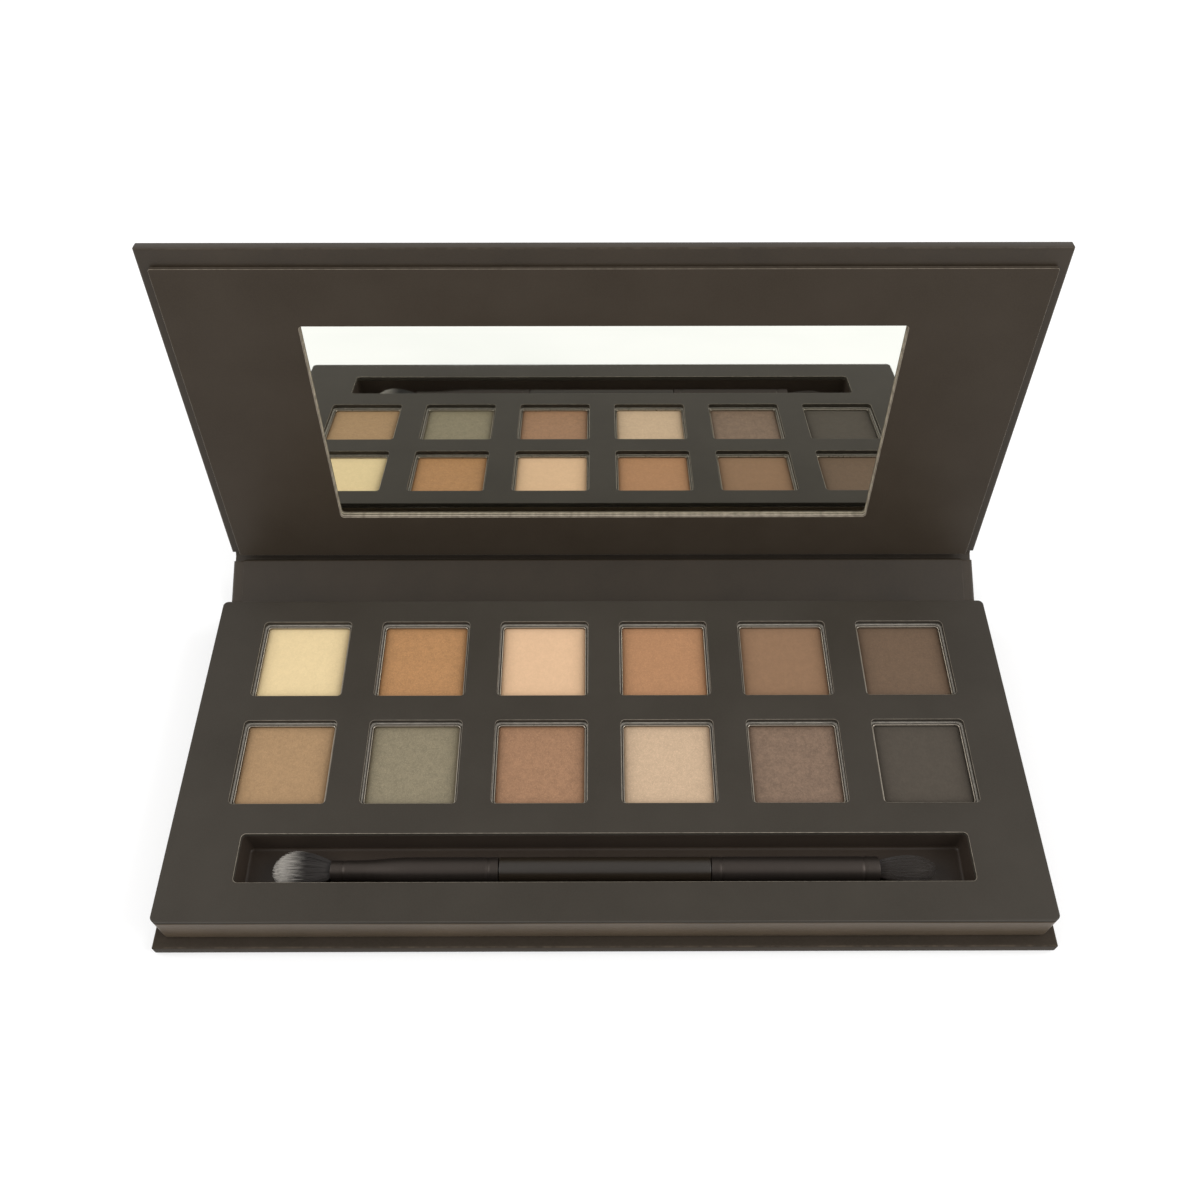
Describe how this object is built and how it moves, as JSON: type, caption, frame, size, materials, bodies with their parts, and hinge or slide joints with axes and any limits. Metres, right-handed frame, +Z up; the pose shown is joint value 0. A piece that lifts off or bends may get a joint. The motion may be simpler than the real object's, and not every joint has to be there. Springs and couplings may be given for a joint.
{
  "type": "eyeshadow palette",
  "caption": "Book-style card eyeshadow palette, open: framed mirror in the lid, a tray of square pressed-powder pans and a double-ended brush in its well.",
  "frame": {"origin": "centre of the base board's underside, on the surface that it rests on", "axes": "+Z up; +X to the right along the hinge line; +Y to the back, where the spine and the lid are"},
  "size_m": [0.19, 0.114, 0.0938],
  "materials": {
    "wrap_paper": "matt laminated printed paper",
    "black_card": "matt dyed card, pale on its cut edges",
    "greyboard": "raw",
    "adhesive": "double-sided tape",
    "magnet": "nickel plated",
    "tinplate": "bright pressed tinplate",
    "mirror_glass": "silvered",
    "handle_plastic": "satin black",
    "ferrule_metal": "satin black",
    "pale_hair": "soft pale synthetic hair with dark roots",
    "dark_hair": "soft dark synthetic hair",
    "powder_tan": "pressed powder, fine shimmer",
    "powder_olive": "pressed powder, shimmer",
    "powder_rose": "pressed powder, shimmer",
    "powder_champagne": "pressed powder, shimmer",
    "powder_plum": "pressed powder, shimmer",
    "powder_charcoal": "pressed powder, matte",
    "powder_cream": "pressed powder, matte",
    "powder_bronze": "pressed powder, shimmer",
    "powder_peach": "pressed powder, matte",
    "powder_copper": "pressed powder, satin",
    "powder_brown": "pressed powder, matte",
    "powder_cocoa": "pressed powder, satin"
  },
  "bodies": {
    "base": {"base_board": "greyboard", "base_wrap": "wrap_paper", "base_lining": "wrap_paper", "tray_floor": "greyboard", "tray_frame": "greyboard", "tray_wrap": "wrap_paper", "pan_platform": "greyboard", "pan_adhesive": "adhesive", "well_board": "greyboard", "front_spacer": "greyboard", "magnet_block_left": "greyboard", "magnet_block_right": "greyboard", "tray_magnet_left": "magnet", "tray_magnet_right": "magnet", "brush_trough": "black_card", "face_card": "black_card", "base_hinge_paper": "wrap_paper", "pan_1": "tinplate", "pan_2": "tinplate", "pan_3": "tinplate", "pan_4": "tinplate", "pan_5": "tinplate", "pan_6": "tinplate", "pan_7": "tinplate", "pan_8": "tinplate", "pan_9": "tinplate", "pan_10": "tinplate", "pan_11": "tinplate", "pan_12": "tinplate", "powder_1": "powder_tan", "powder_2": "powder_olive", "powder_3": "powder_rose", "powder_4": "powder_champagne", "powder_5": "powder_plum", "powder_6": "powder_charcoal", "powder_7": "powder_cream", "powder_8": "powder_bronze", "powder_9": "powder_peach", "powder_10": "powder_copper", "powder_11": "powder_brown", "powder_12": "powder_cocoa"},
    "spine": {"spine_board": "greyboard", "spine_wrap": "wrap_paper", "spine_lining": "wrap_paper", "lid_hinge_paper": "wrap_paper"},
    "lid": {"lid_board": "greyboard", "lid_frame_board": "greyboard", "lid_wrap": "wrap_paper", "lid_liner": "black_card", "mirror": "mirror_glass", "mirror_tape": "adhesive", "lid_magnet_left": "magnet", "lid_magnet_right": "magnet"},
    "brush": {"brush_handle": "handle_plastic", "ferrule_left": "ferrule_metal", "ferrule_right": "ferrule_metal", "bristles_left": "pale_hair", "bristles_right": "dark_hair"}
  },
  "joints": [
    {"name": "spine_fold", "type": "hinge", "parent": "base", "child": "spine", "pos_m": [0, 0.0449, 0.0004], "axis": [1, 0, 0], "range_deg": [-24.5, 65.5], "deforming": ["base_hinge_paper"]},
    {"name": "lid_fold", "type": "hinge", "parent": "spine", "child": "lid", "pos_m": [0, 0.05902, 0.00684], "axis": [1, 0, 0], "range_deg": [-57.65, 32.35], "deforming": ["lid_hinge_paper"]},
    {"name": "brush_slide", "type": "slide", "parent": "base", "child": "brush", "axis": [1, 0, 0], "range_m": [-0.006, 0.006]}
  ]
}
